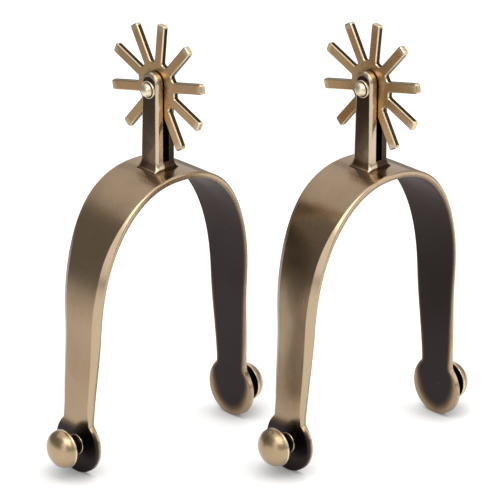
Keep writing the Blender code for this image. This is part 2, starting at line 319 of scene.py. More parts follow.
def band_outline(run, line):
    """Edge of the band rolled out flat, as run and half width from the crown to the lowest point of the
    pad, with its outward normals. The half width eases from the crown's to the neck's with an eased ramp
    e(d) = (d + sqrt(d^2 + ease^2))/2 - ease/2, and meets the pad's circle in a small soft corner (A + B)/2
    + sqrt(((A - B)/2)^2 + fillet^2). The circle's lower half is drawn in so that it just stands on z =
    0."""
    neck_run = np.interp(-NECK_HEIGHT, -line[:, 1], run)
    middle_run = neck_run + NECK_HEIGHT - PAD_HEIGHT
    upper = np.linspace(0.0, middle_run, OUTLINE_STEPS)

    def eased(distance):
        return (distance + np.hypot(distance, TAPER_EASE)) / 2 - TAPER_EASE / 2

    level = eased(-TAPER_START)
    share = (eased(upper - TAPER_START) - level) / (eased(neck_run - TAPER_START) - level)
    arm = (CROWN_WIDTH + (NECK_WIDTH - CROWN_WIDTH) * np.clip(share, 0.0, 1.0)) / 2
    disc = np.sqrt(np.clip(PAD_RADIUS**2 - (upper - middle_run) ** 2, 0.0, None))
    nearing = smooth_step((upper - neck_run + NECK_BLEND_REACH) / NECK_BLEND_EASE)
    leaving = smooth_step((neck_run + NECK_BLEND_REACH - upper) / NECK_BLEND_EASE)
    blend = NECK_FILLET * nearing * leaving
    half = (arm + disc) / 2 + np.sqrt(((arm - disc) / 2) ** 2 + blend**2)
    turn = np.linspace(0.0, math.pi / 2, 400)[1:]
    low_run = middle_run + PAD_HEIGHT * np.sin(turn)
    low_half = PAD_RADIUS * np.cos(turn)
    edge = np.stack([np.concatenate([upper, low_run]), np.concatenate([half, low_half])], axis=1)
    edge[-1, 1] = 0.0
    length = along(edge)
    neck_length = np.interp(neck_run, edge[:OUTLINE_STEPS, 0], length[:OUTLINE_STEPS])
    stations = np.concatenate([
        np.linspace(0.0, neck_length - NECK_ZONE, 130),
        np.linspace(neck_length - NECK_ZONE, length[-1], 100)[1:],
    ])
    points = sampled(stations, length, edge)
    slope_run = np.gradient(edge[:, 0], length)
    slope_half = np.gradient(edge[:, 1], length)
    normals = unit(sampled(stations, length, np.stack([-slope_half, slope_run], axis=1)))
    normals[0] = (0.0, 1.0)
    normals[-1] = (1.0, 0.0)
    return points, normals, neck_run, middle_run


def both_sides(grid, mirrored=False):
    """Closes half sections into whole ones by adding the other side in reverse; mirrored turns its sign."""
    other = grid[:, -2:0:-1]
    return np.concatenate([grid, -other if mirrored else other], axis=1)


def both_ways(grid, mirrored=False):
    """Adds the other arm in front of the rows, in reverse; mirrored turns its sign."""
    other = grid[:0:-1]
    return np.concatenate([-other if mirrored else other, grid])


def band_bevel(run, neck_run):
    """Width of the outside bevel at a run from the crown: narrow on the crown, widest below the shoulder,
    narrower again towards the neck and least round the pad, with an eased step between each two."""
    grown = eased_in(run, BEVEL_GROWTH_START, BEVEL_GROWTH_END)
    waned = eased_in(run, BEVEL_WANE_START, BEVEL_WANE_END)
    on_pad = eased_in(run - neck_run, *PAD_BEVEL_RANGE)
    width = CROWN_BEVEL + (ARM_BEVEL - CROWN_BEVEL) * grown + (NECK_BEVEL - ARM_BEVEL) * waned
    return width + (PAD_BEVEL - NECK_BEVEL) * on_pad


def band_rim(bevel):
    """Softened edge of the band's section at each station, as inset from the edge and depth from the
    outside face: face, bevel, side and inside face."""
    flat = np.zeros_like(bevel)
    full = flat + BAND_THICKNESS
    insets = np.stack([bevel + 2 * BAND_SOFTNESS, bevel, flat, flat, flat + 2 * BAND_SOFTNESS], axis=1)
    depths = np.stack([flat, flat, bevel * BEVEL_DEPTH_SHARE, full, full], axis=1)
    return softened(np.stack([insets, depths], axis=-1), BAND_SOFTNESS)


def band_surface():
    """The heel band: its flat outline, inset ring by ring along the outline's normals, is carried at each
    ring's depth along the arch's outside line: place = line(run) - depth times the line's outward normal, y
    = half width."""
    run, line = band_path()
    outline, normals, neck_run, middle_run = band_outline(run, line)
    tangent = unit(np.stack([np.gradient(line[:, 0], run), np.gradient(line[:, 1], run)], axis=1))
    bevel = band_bevel(outline[:, 0], neck_run)
    rim = band_rim(bevel)
    across = np.linspace(0.0, 1.0, 13)[:-1]
    before = np.ones((len(bevel), len(across)))
    share = np.concatenate([across, np.ones(rim.shape[1]), across[::-1]])
    inset = np.concatenate([before * rim[:, :1, 0], rim[..., 0], before * rim[:, -1:, 0]], axis=1)
    depth = np.concatenate([before * 0.0, rim[..., 1], before * BAND_THICKNESS], axis=1)
    ring_run = outline[:, :1] - inset * normals[:, :1]
    ring_half = np.clip(outline[:, 1:] - inset * normals[:, 1:], 0.0, None) * share
    outside = depth < 0.01
    deep = depth + np.where(outside, BAND_CROSS_CROWN * share**2, 0.0)
    x = np.interp(ring_run, run, line[:, 0]) + deep * np.interp(ring_run, run, tangent[:, 1])
    z = np.interp(ring_run, run, line[:, 1]) - deep * np.interp(ring_run, run, tangent[:, 0])
    from_pad = np.hypot(ring_run - middle_run, ring_half)
    in_pad = eased_in(ring_run - neck_run, *PAD_START_RANGE)
    edge_gap = (outline[:, 1:] - ring_half) * (1 - in_pad) + (PAD_RADIUS - from_pad) * in_pad
    face_gap = np.clip(edge_gap - bevel[:, None], 0.0, None)
    inner = eased_in(depth - BAND_THICKNESS, *INSIDE_FACE_RANGE)
    bevel_foot = bevel[:, None] * BEVEL_DEPTH_SHARE
    wall = np.clip((depth - bevel_foot) / (BAND_THICKNESS - bevel_foot), 0.0, 1.0)
    whole = {
        "x": both_ways(both_sides(x), mirrored=True),
        "y": both_ways(both_sides(ring_half, mirrored=True)),
        "z": both_ways(both_sides(z)),
    }
    halves = {
        "run": ring_run,
        "from_pad": from_pad,
        "in_pad": in_pad,
        "edge_gap": edge_gap,
        "face_gap": face_gap,
        "inner": inner,
        "wall": wall,
        "outside": outside * 1.0,
    }
    for label, values in halves.items():
        whole[label] = both_ways(both_sides(values))
    masks = band_wear_and_light(whole, middle_run)
    return np.stack([whole["x"], whole["y"], whole["z"]], axis=-1), masks


def band_wear_and_light(whole, middle_run):
    """Where the band is rubbed bright, where soot has stayed, and where light and shade are painted on.
    Rubbing follows the edges and fades across the side wall; it is strongest on the front (-Y) edge, a
    painted highlight over the wear, with painted shade on the back edge. Soot fills the pads round the
    buttons, keeps to the side wall's inner edge and lines the inside, thinning out towards its edges and most
    on the pads.
    On a pad the rim keeps its brightness only at its upper front, with painted shade below. The side wall of
    a near (-X) pad is painted lit, free of soot, only towards the inside and at its upper front, that of a
    far
    pad all over: painted reflection and shade. Painted glints fleck the front bevel around a given run."""
    run = whole["run"]
    inner = whole["inner"]
    wall = whole["wall"]
    in_pad = whole["in_pad"]
    outer = 1 - inner
    above_pad = middle_run - run
    front = eased_in(whole["y"], *FRONT_RANGE)
    far = eased_in(whole["x"], *FAR_ARM_RANGE)
    # Painted light on a pad's rim: bright at its upper front, painted shade below
    upper_front = LIT_RIM_UP * above_pad - LIT_RIM_FRONT * whole["y"]
    lit_upper_rim = smooth_step(upper_front / np.maximum(whole["from_pad"], 1.0) / LIT_RIM_FULL)
    edge = np.where(whole["outside"] > 0.5, np.exp(-whole["face_gap"] / EDGE_RUB_WIDTH), 1.0)
    edge = edge * (1 - EDGE_RUB_WALL_LOSS * wall)
    # A near pad's brightness lies on the inner part of its side wall as painted reflection, a far pad's on
    # its rubbed edges
    pad_edge = far * edge + (1 - far) * eased_in(wall, *NEAR_PAD_LIT_EDGE_RANGE)
    edge = edge + (pad_edge - edge) * in_pad
    # Front edges keep all their brightness and back edges little of it: painted highlight and painted shade
    # over the rub
    rub = edge * outer * (BACK_EDGE_SHADED_RUB + (1 - BACK_EDGE_SHADED_RUB) * front) * (1 - in_pad * (1 - lit_upper_rim))
    # Where a pad's side wall is painted lit, its soot is left off: painted reflection there, painted shade on
    # the rest
    lit_wall = far * eased_in(wall, *FAR_PAD_LIT_RANGE)
    lit_wall = lit_wall + (1 - far) * eased_in(wall, *NEAR_PAD_LIT_RANGE) * lit_upper_rim
    soot_and_shade = eased_in(above_pad, *PAD_SOOT_RANGE) * outer * (1 - front * lit_wall)
    cleared = eased_in(above_pad, *ABOVE_PAD_RANGE) * (far + (1 - far) * in_pad)
    inner_edge = INNER_EDGE_SOOT * eased_in(wall, *INNER_EDGE_RANGE) * outer
    soot_and_shade = np.maximum(soot_and_shade, inner_edge * (1 - cleared))
    back_margin = LINING_BACK_MARGIN * eased_in(run, *LINING_BACK_RANGE) * (1 - front)
    pad_margin = eased_in(above_pad, *LINING_PAD_RANGE) * (LINING_PAD_MARGIN - LINING_PAD_FRONT_LOSS * front)
    margin = LINING_FRONT_MARGIN * front + LINING_LEAST_MARGIN + back_margin + pad_margin
    lining = smooth_step((whole["edge_gap"] + LINING_REACH) / (margin + LINING_REACH)) * inner
    # Painted glints along the front bevel, fed in as rubbed brightness
    painted_glint = np.exp(-whole["face_gap"] / PAINTED_GLINT_WIDTH) * front * outer
    painted_glint = painted_glint * np.exp(-(((run - PAINTED_GLINT_RUN) / PAINTED_GLINT_LENGTH) ** 2))
    return {"rub": rub, "soot_and_shade": soot_and_shade, "lining": lining, "inner": inner, "painted_glint": painted_glint}


def shank_surface():
    """The fork: a bar bent to a square U. Its outside line runs along the crown and up the outside of a
    tine, its inside line along the slot's floor and up the slot, and a ring at a share of the depth lies
    between the two. The tine ends in a half circle seen from the side. The foot then spreads by a hollow
    quarter circle spread (1 - sqrt(1 - (1 - h)^2)) over its height and settles on the crown's curve."""
    floor_share = np.linspace(0.0, 1.0, 14)[:-1]
    low_climb = np.linspace(0.0, SLOT_ROOT, 26)[:-1]
    climb = np.concatenate([low_climb, np.linspace(SLOT_ROOT, TIP_CENTRE - SLOT_FLOOR, 40)])
    turn = np.linspace(0.0, math.pi / 2, 28)[1:]
    inner_z = np.concatenate([
        np.full_like(floor_share, SLOT_FLOOR),
        SLOT_FLOOR + climb,
        TIP_CENTRE + TINE_HALF_DEPTH * np.sin(turn),
    ])
    lag = (SLOT_FLOOR - CROWN_HEIGHT) * (1 - smooth_step((inner_z - SLOT_FLOOR) / SLOT_LAG))
    outer_z = inner_z - lag
    floor_reach = np.concatenate([floor_share, np.ones(len(climb) + len(turn))])
    inner_x = floor_reach * SLOT_HALF_WIDTH
    outer_x = floor_reach * FORK_HALF_WIDTH
    taper = np.clip((inner_z - SLOT_FLOOR) / (TIP_CENTRE - SLOT_FLOOR), 0.0, 1.0)
    half = ROOT_HALF_DEPTH + (TINE_HALF_DEPTH - ROOT_HALF_DEPTH) * taper
    half[-len(turn):] = TINE_HALF_DEPTH * np.cos(turn)
    half[-1] = 0.0
    normal_z = np.zeros_like(half)
    normal_z[-len(turn):] = np.sin(turn)
    normal_y = np.sqrt(1 - normal_z**2)
    corners = [(TINE_EDGE * 1.6, 0.0), (TINE_EDGE, 0.0), (0.0, TINE_EDGE * 0.8), (0.0, TINE_THICKNESS),
               (SLOT_EDGE * 4, TINE_THICKNESS)]
    rim = softened(corners, SLOT_EDGE * 3)
    across = np.linspace(0.0, 1.0, 9)[:-1]
    share = np.concatenate([across, np.ones(len(rim)), across[::-1]])
    level = np.ones(len(across))
    inset = np.concatenate([level * rim[0, 0], rim[:, 0], level * rim[-1, 0]])
    part = np.concatenate([level * 0.0, rim[:, 1], level * TINE_THICKNESS]) / TINE_THICKNESS
    ring_y = np.clip(half[:, None] - inset * normal_y[:, None], 0.0, None) * share
    drop = inset * normal_z[:, None]
    x = outer_x[:, None] * (1 - part) + inner_x[:, None] * part
    z = outer_z[:, None] * (1 - part) + inner_z[:, None] * part - drop
    rise = np.clip((z - CROWN_HEIGHT) / FOOT_SPREAD_HEIGHT, 0.0, 1.0)
    spread = FOOT_SPREAD * (1 - np.sqrt(1 - (1 - rise) ** 2))
    edge_gap = np.clip(half[:, None] - ring_y, 0.0, None)
    x = x * (1 + spread / FORK_HALF_WIDTH)
    y = ring_y * (1 + spread / ROOT_HALF_DEPTH)
    z = z + (crown_height(x) - CROWN_HEIGHT) * (1 - rise)
    grid = [
        both_ways(both_sides(x), mirrored=True),
        both_ways(both_sides(y, mirrored=True)),
        both_ways(both_sides(z)),
    ]
    whole_part = both_ways(both_sides(np.broadcast_to(part, x.shape)))
    whole_gap = both_ways(both_sides(edge_gap))
    outside = eased_in(whole_part, *FORK_OUTSIDE_RANGE)
    side = (1 - outside) * eased_in(whole_part, *FORK_SIDE_RANGE)
    # Painted shade: past the near tine's slot edge along X, the far tine included, the sides are painted
    # dark; the near tine's sides keep their brightness as its lit side
    lit_near_side = 1 - eased_in(grid[0], *FORK_SHADED_RANGE)
    climbed = np.clip((grid[2] - CROWN_HEIGHT) / (TIP_CENTRE - CROWN_HEIGHT), 0.0, 1.0)
    # Painted light: the outside faces are painted less dark towards their front and their foot
    lit_foot = eased_in(grid[1], TINE_HALF_DEPTH, -TINE_HALF_DEPTH) * eased_in(climbed, LIT_FOOT_TOP, 0.0)
    edge_rub = FORK_EDGE_RUB * np.exp(-np.clip(whole_gap - TINE_EDGE, 0.0, None) / FORK_RUB_WIDTH)
    masks = {
        "rub": side * (SHADED_SIDE_RUB + (1 - SHADED_SIDE_RUB) * lit_near_side) + outside * edge_rub,
        "slot": eased_in(whole_part, *FORK_SLOT_RANGE),
        "face": outside * (1 - LIT_FOOT_LOSS * lit_foot),
        "shaded": side * (1 - lit_near_side),
        "climb": climbed,
    }
    return np.stack(grid, axis=-1), masks


def rowel_surface():
    """The rowel: one point's outline (half a hub arc, a straight side, a softened tip and back) is turned
    round the hub ten times, each outline point has rings inset along its normal over the bevel and radial
    lines in to the bore, and the rings run from the bore across one face, over the edge and back across the
    other."""
    root = math.asin(POINT_HALF_WIDTH / HUB_RADIUS)
    sector = math.pi / ROWEL_POINTS
    arc = np.linspace(-sector, -root, 7)
    corners = np.concatenate([
        np.stack([HUB_RADIUS * np.cos(arc), HUB_RADIUS * np.sin(arc)], axis=1),
        np.array([(ROWEL_RADIUS, -POINT_HALF_WIDTH), (ROWEL_RADIUS, 0.0)]),
    ])
    half = softened(corners, POINT_CORNER, 7)
    length = along(half)
    tip_start = length[-1] - TIP_LENGTH
    even = np.concatenate([np.linspace(0, tip_start, 24)[:-1], np.linspace(tip_start, length[-1], 16)])
    half = sampled(even, length, half)
    other = half[-2:0:-1] * np.array([1.0, -1.0])
    point = np.concatenate([half, other])
    turns = np.arange(ROWEL_POINTS) * 2 * sector
    spin = np.stack([np.cos(turns), -np.sin(turns), np.sin(turns), np.cos(turns)], axis=1).reshape(-1, 2, 2)
    outline = np.einsum("kij,mj->kmi", spin, point).reshape(-1, 2)
    ahead = np.roll(outline, -1, axis=0) - np.roll(outline, 1, axis=0)
    normals = unit(np.stack([ahead[:, 1], -ahead[:, 0]], axis=1))
    thick = 2 * ROWEL_HALF_THICKNESS
    corners = [(ROWEL_RING, 0.0), (ROWEL_BEVEL, 0.0), (0.0, ROWEL_BEVEL), (0.0, thick - ROWEL_BEVEL),
               (ROWEL_BEVEL, thick), (ROWEL_RING, thick)]
    rim = softened(corners, ROWEL_SOFTNESS)
    inwards = np.linspace(0.0, 1.0, 7)[:-1]
    share = np.concatenate([inwards, np.ones(len(rim)), inwards[::-1]])
    level = np.ones(len(inwards))
    inset = np.concatenate([level * rim[0, 0], rim[:, 0], level * rim[-1, 0]])
    depth = np.concatenate([level * 0.0, rim[:, 1], level * thick])
    ring = outline[:, None] - inset[None, :, None] * normals[:, None]
    bore = unit(outline)[:, None] * ROWEL_BORE_RADIUS
    flat = bore * (1 - share[None, :, None]) + ring * share[None, :, None]
    x = np.broadcast_to(ROWEL_HALF_THICKNESS - depth, flat.shape[:2])
    cos_turn = math.cos(ROWEL_TURN)
    sin_turn = math.sin(ROWEL_TURN)
    y = flat[..., 0] * cos_turn + flat[..., 1] * sin_turn
    z = AXIS_HEIGHT - flat[..., 0] * sin_turn + flat[..., 1] * cos_turn
    radius = np.hypot(flat[..., 0], flat[..., 1])
    buried = np.minimum(depth, thick - depth)
    masks = {
        "rub": np.where(buried < FACE_DEPTH, np.where(share < 1.0, 0.0, RING_RUB), 1.0),
        # Painted shade on the sides between the points
        "wall": eased_in(buried, *ROWEL_WALL_RANGE),
        "tip": eased_in(radius - ROWEL_RADIUS, *TIP_RUB_RANGE),
        # Painted shade on the hub between the tines
        "hub_shade": eased_in(radius, *HUB_SHADE_RANGE),
    }
    return np.stack([x, y, z], axis=-1), masks


def turned_surface(profile, softness, steps=72):
    """A turned piece about the X axis: the softened profile of distance along the axis and radius is spun
    round. place = (along, radius cos angle, radius sin angle). Also gives the softened profile."""
    line = softened(profile, softness, 5)
    line[:, 1] = np.clip(line[:, 1], 0.0, None)
    angle = np.linspace(0.0, 2 * math.pi, steps + 1)[:-1]
    x = np.broadcast_to(line[:, :1], (len(line), steps))
    y = line[:, 1:] * np.cos(angle)
    z = line[:, 1:] * np.sin(angle)
    return np.stack([x, y, z], axis=-1), line


def dome(base, rise, radius, steps):
    """Profile of a dome from its edge to its top: x = base + rise sin(t), radius cos(t)."""
    turn = np.linspace(0.0, math.pi / 2, steps)
    return np.stack([base + rise * np.sin(turn), radius * np.cos(turn)], axis=1)


def pin_surface():
    """The rowel pin: a shaft between two heads, each a thick round rim with a smaller tall dome standing on
    it."""
    rim = PIN_SEAT + PIN_RIM_THICKNESS
    top = dome(rim, PIN_DOME_HEIGHT, PIN_DOME_RADIUS - 0.1, 16)
    head = np.concatenate([[(0.0, PIN_RADIUS), (PIN_SEAT, PIN_RADIUS), (PIN_SEAT, PIN_RIM_RADIUS - 0.15),
                            (PIN_SEAT + 0.2, PIN_RIM_RADIUS), (rim - 0.2, PIN_RIM_RADIUS),
                            (rim, PIN_RIM_RADIUS - 0.2), (rim - 0.12, PIN_DOME_RADIUS)], top])
    other = head[:0:-1] * np.array([-1.0, 1.0])
    points, line = turned_surface(np.concatenate([other, head]), PIN_SOFTNESS)
    radius = line[:, 1:]
    distance = np.abs(line[:, :1])
    crevice = np.exp(-(((radius - PIN_DOME_RADIUS) / 0.14) ** 2)) * (distance > PIN_SEAT + 0.3)
    rub = smooth_step((radius - PIN_DOME_RADIUS - 0.2) / 0.25) * (distance > PIN_SEAT + 0.1)
    top_rub = smooth_step((distance - rim - 0.9) / 1.2)
    masks = {"rub": np.maximum(0.7 * rub, 0.7 * top_rub), "crevice": crevice}
    return points + np.array([0.0, 0.0, AXIS_HEIGHT]), masks


def button_surface():
    """A strap button pointing along +X from the pad: a neck with a small collar, a flat underside, a thin
    rim and a tall rounded dome."""
    under = BUTTON_NECK_LENGTH
    base = under + BUTTON_RIM_THICKNESS
    collar_and_neck = [(BUTTON_SEAT, 0.0), (BUTTON_SEAT, BUTTON_COLLAR_RADIUS), (0.35, BUTTON_COLLAR_RADIUS),
                       (0.75, 3.55), (under - 0.5, BUTTON_NECK_RADIUS), (under, 4.1)]
    rim_edge = [(under, 7.3), (under + 0.22, 7.86), (under + 0.6, BUTTON_RIM_RADIUS)]
    top = dome(base, BUTTON_HEIGHT - base, BUTTON_DOME_RADIUS, 26)
    profile = np.concatenate([collar_and_neck, rim_edge, top])
    points, line = turned_surface(profile, BUTTON_SOFTNESS, 96)
    distance = line[:, :1]
    radius = line[:, 1:]
    under_side = smooth_step((under + 0.12 - distance) / 0.12)
    rim = smooth_step((radius - 7.5) / 0.25) * smooth_step((distance - under) / 0.15)
    collar = smooth_step((radius - 4.0) / 0.2) * (distance < 0.6) * (distance > 0.1)
    rim_rub = rim * (distance < under + 1.1)
    masks = {"rub": np.maximum(rim_rub, 0.8 * collar), "soot_and_shade": under_side * (1 - collar)}
    return points, masks


def feed(tree, socket, value):
    """Links a socket to another node's output, or sets it to a plain value."""
    if isinstance(value, bpy.types.NodeSocket):
        tree.links.new(value, socket)
    else:
        socket.default_value = value


def node(tree, kind, x, y, **values):
    """One shader node at a place in its tree, with its own settings; inputs= feeds its sockets by name."""
    made = tree.nodes.new(kind)
    made.location = (x, y)
    sockets = values.pop("inputs", {})
    for label, value in values.items():
        setattr(made, label, value)
    for label, value in sockets.items():
        feed(tree, made.inputs[label], value)
    return made


def math_node(tree, operation, first, second, x, y, clamp=False):
    """A Math node fed by sockets or plain numbers; gives its output socket."""
    made = node(tree, "ShaderNodeMath", x, y, operation=operation, use_clamp=clamp)
    feed(tree, made.inputs[0], first)
    feed(tree, made.inputs[1], second)
    return made.outputs[0]


def mix_colour(tree, share, first, second, x, y):
    """A colour mix; gives its output socket."""
    made = node(tree, "ShaderNodeMix", x, y, data_type="RGBA")
    for place, value in ((0, share), (6, first), (7, second)):
        feed(tree, made.inputs[place], value)
    return made.outputs[2]


def new_group(name, inputs, outputs):
    """An empty shader node group with named sockets: inputs as (name, kind, default), outputs as (name,
    kind)."""
    group = bpy.data.node_groups.new(name, "ShaderNodeTree")
    for label, kind, default in inputs:
        socket = group.interface.new_socket(label, in_out="INPUT", socket_type=kind)
        socket.default_value = default
    for label, kind in outputs:
        group.interface.new_socket(label, in_out="OUTPUT", socket_type=kind)
    entry = node(group, "NodeGroupInput", -900, 0)
    leave = node(group, "NodeGroupOutput", 900, 0)
    return group, entry.outputs, leave.inputs


def make_broken_mask():
    """Breaks up a smooth mask with two sizes of cloud: out = step(low, high, mask + break (noise - 0.5))."""
    inputs = [("Mask", FLOAT, 0.0), ("Break", FLOAT, 0.5),
              ("Scale", FLOAT, 300.0), ("Low", FLOAT, 0.3), ("High", FLOAT, 0.7)]
    group, entry, leave = new_group("broken_mask", inputs, [("Mask", FLOAT)])
    place = node(group, "ShaderNodeTexCoord", -900, -300).outputs["Object"]
    cloud = node(group, "ShaderNodeTexNoise", -650, -300,
                 inputs={"Vector": place, "Scale": entry["Scale"], "Detail": 5.0, "Roughness": 0.62})
    shift = math_node(group, "SUBTRACT", cloud.outputs["Fac"], 0.5, -400, -300)
    shift = math_node(group, "MULTIPLY", shift, entry["Break"], -200, -300)
    total = math_node(group, "ADD", entry["Mask"], shift, 0, 0)
    span = node(group, "ShaderNodeMapRange", 300, 0, interpolation_type="SMOOTHSTEP",
                inputs={"Value": total, "From Min": entry["Low"], "From Max": entry["High"]})
    group.links.new(span.outputs["Result"], leave["Mask"])
    return group


def make_satin_grain():
    """Hand-rubbed satin: long fine lines along one way and a few small pits. Height for a bump, and a value
    that varies the roughness about zero."""
    inputs = [("Stretch", VECTOR, (1.0, 1.0, 1.0)), ("Scale", FLOAT, 900.0),
              ("Pits", FLOAT, 0.3)]
    outputs = [("Height", FLOAT), ("Roughness", FLOAT), ("Speck", FLOAT)]
    group, entry, leave = new_group("satin_grain", inputs, outputs)
    place = node(group, "ShaderNodeTexCoord", -900, -300).outputs["Object"]
    stretch = node(group, "ShaderNodeVectorMath", -700, -200, operation="MULTIPLY")
    feed(group, stretch.inputs[0], place)
    feed(group, stretch.inputs[1], entry["Stretch"])
    stretched = stretch.outputs[0]
    lines = node(group, "ShaderNodeTexNoise", -500, -100,
                 inputs={"Vector": stretched, "Scale": entry["Scale"], "Detail": 4.0, "Roughness": 0.6})
    cloud = node(group, "ShaderNodeTexNoise", -500, -400,
                 inputs={"Vector": place, "Scale": 120.0, "Detail": 4.0})
    spots = node(group, "ShaderNodeTexVoronoi", -500, -700, inputs={"Vector": place, "Scale": 700.0})
    sparse = node(group, "ShaderNodeTexNoise", -500, -1000,
                  inputs={"Vector": place, "Scale": 260.0, "Detail": 1.0})
    pit = node(group, "ShaderNodeMapRange", -250, -700,
               inputs={"Value": spots.outputs["Distance"], "From Min": 0.13, "From Max": 0.05})
    few = node(group, "ShaderNodeMapRange", -250, -1000,
               inputs={"Value": sparse.outputs["Fac"], "From Min": 0.67, "From Max": 0.71})
    speck = math_node(group, "MULTIPLY", pit.outputs["Result"], few.outputs["Result"], 0, -800)
    speck = math_node(group, "MULTIPLY", speck, entry["Pits"], 150, -800)
    fine = math_node(group, "MULTIPLY", lines.outputs["Fac"], 0.5, -250, -100)
    broad = math_node(group, "MULTIPLY", cloud.outputs["Fac"], 0.8, -250, -400)
    level = math_node(group, "ADD", fine, broad, 0, -200)
    height = math_node(group, "SUBTRACT", level, speck, 250, -200)
    centred = math_node(group, "SUBTRACT", level, 0.65, 250, -400)
    group.links.new(height, leave["Height"])
    group.links.new(centred, leave["Roughness"])
    group.links.new(speck, leave["Speck"])
    return group


def make_aged_brass():
    """Colour and roughness of aged brass: the satin tone drifts between two shades in broad clouds, soot
    darkens it and rubbed places are cleaner, paler and smoother. Soot lies over all but what the rubbing
    has cleared. The Soot input and Soot Colour carry painted shade as well as soot, and Rub carries painted
    highlights and glints as well as rubbed wear, where a piece feeds them so."""
    inputs = [("Satin", COLOUR, (0.42, 0.30, 0.19, 1)), ("Brown", COLOUR, (0.3, 0.2, 0.11, 1)),
              ("Dark Brown", COLOUR, (0.13, 0.085, 0.048, 1)),
              ("Soot Colour", COLOUR, (0.02, 0.017, 0.017, 1)),
              ("Bright", COLOUR, (0.68, 0.52, 0.34, 1)),
              ("Rub", FLOAT, 0.0), ("Soot", FLOAT, 0.0), ("Tarnish", FLOAT, 0.4),
              ("Roughness", FLOAT, 0.25), ("Grain", FLOAT, 0.0)]
    outputs = [("Colour", COLOUR), ("Roughness", FLOAT), ("Lacquer", FLOAT)]
    group, entry, leave = new_group("aged_brass", inputs, outputs)
    place = node(group, "ShaderNodeTexCoord", -900, -500).outputs["Object"]
    cloud = node(group, "ShaderNodeTexNoise", -700, -500,
                 inputs={"Vector": place, "Scale": 55.0, "Detail": 6.0, "Roughness": 0.58})
    drift = node(group, "ShaderNodeMapRange", -500, -500,
                 inputs={"Value": cloud.outputs["Fac"], "From Min": 0.38, "From Max": 0.66})
    tarnish = math_node(group, "MULTIPLY", drift.outputs["Result"], entry["Tarnish"], -300, -500)
    tone = mix_colour(group, tarnish, entry["Satin"], entry["Brown"], -100, 200)
    browning = math_node(group, "MULTIPLY", entry["Soot"], 2.0, -100, 450, clamp=True)
    blackening = math_node(group, "MULTIPLY_ADD", entry["Soot"], 2.0, -100, 650, clamp=True)
    blackening.node.inputs[2].default_value = -1.0
    dark = mix_colour(group, browning, tone, entry["Dark Brown"], 50, 300)
    dark = mix_colour(group, blackening, dark, entry["Soot Colour"], 200, 300)
    worn = mix_colour(group, entry["Rub"], dark, entry["Bright"], 400, 200)
    group.links.new(worn, leave["Colour"])
    rough = math_node(group, "MULTIPLY", tarnish, 0.12, -100, -300)
    rough = math_node(group, "ADD", rough, entry["Roughness"], 50, -300)
    sooty = math_node(group, "MULTIPLY", entry["Soot"], 0.10, 50, -500)
    rough = math_node(group, "ADD", rough, sooty, 200, -300)
    rough = math_node(group, "ADD", rough, entry["Grain"], 350, -300)
    polish = math_node(group, "MULTIPLY", entry["Rub"], 0.05, 350, -500)
    rough = math_node(group, "SUBTRACT", rough, polish, 500, -300, clamp=True)
    group.links.new(rough, leave["Roughness"])
    lacquer = node(group, "ShaderNodeMapRange", 500, -600,
                   inputs={"Value": entry["Soot"], "To Min": 0.35, "To Max": 0.0})
    group.links.new(lacquer.outputs["Result"], leave["Lacquer"])
    return group


BROKEN_MASK = make_broken_mask()
SATIN_GRAIN = make_satin_grain()
AGED_BRASS = make_aged_brass()


def use_group(tree, group, x, y, **values):
    """Places a node group in a material with its own values; sockets are set by name, with _ for a space."""
    made = node(tree, "ShaderNodeGroup", x, y, node_tree=group)
    for label, value in values.items():
        feed(tree, made.inputs[label.replace("_", " ")], value)
    return made.outputs


def attribute(tree, label, x, y):
    """The value of one of the piece's own attributes."""
    return node(tree, "ShaderNodeAttribute", x, y, attribute_name=label).outputs["Fac"]


def broken(tree, mask, x, y, clouds, scale, low, high):
    """A mask broken up by clouds of a strength and scale, between a low and a high level."""
    made = use_group(tree, BROKEN_MASK, x, y, Mask=mask, Break=clouds, Scale=scale, Low=low, High=high)
    return made["Mask"]


def new_brass(name):
    """A material with a metallic Principled shader, ready for its colour, roughness and bump."""
    material = bpy.data.materials.new(name)
    material.use_nodes = True
    tree = material.node_tree
    tree.nodes.clear()
    lacquer = {"Metallic": 1.0, "Coat Roughness": 0.06}
    shader = node(tree, "ShaderNodeBsdfPrincipled", 900, 0, inputs=lacquer)
    node(tree, "ShaderNodeOutputMaterial", 1200, 0, inputs={"Surface": shader.outputs["BSDF"]})
    return material, tree, shader


def finish_brass(tree, shader, grain, bump, roughening=0.12, **values):
    """Gives the shader an aged brass tone with these values, its roughness varied by the grain, and the
    grain itself as a shallow bump."""
    uneven = math_node(tree, "MULTIPLY", grain["Roughness"], roughening, 0, -400)
    tone = use_group(tree, AGED_BRASS, 200, 0, Grain=uneven, **values)
    tree.links.new(tone["Colour"], shader.inputs["Base Color"])
    tree.links.new(tone["Roughness"], shader.inputs["Roughness"])
    tree.links.new(tone["Lacquer"], shader.inputs["Coat Weight"])
    relief = node(tree, "ShaderNodeBump", 650, -300,
                  inputs={"Height": grain["Height"], "Strength": bump, "Distance": GRAIN_DEPTH})
    tree.links.new(relief.outputs["Normal"], shader.inputs["Normal"])


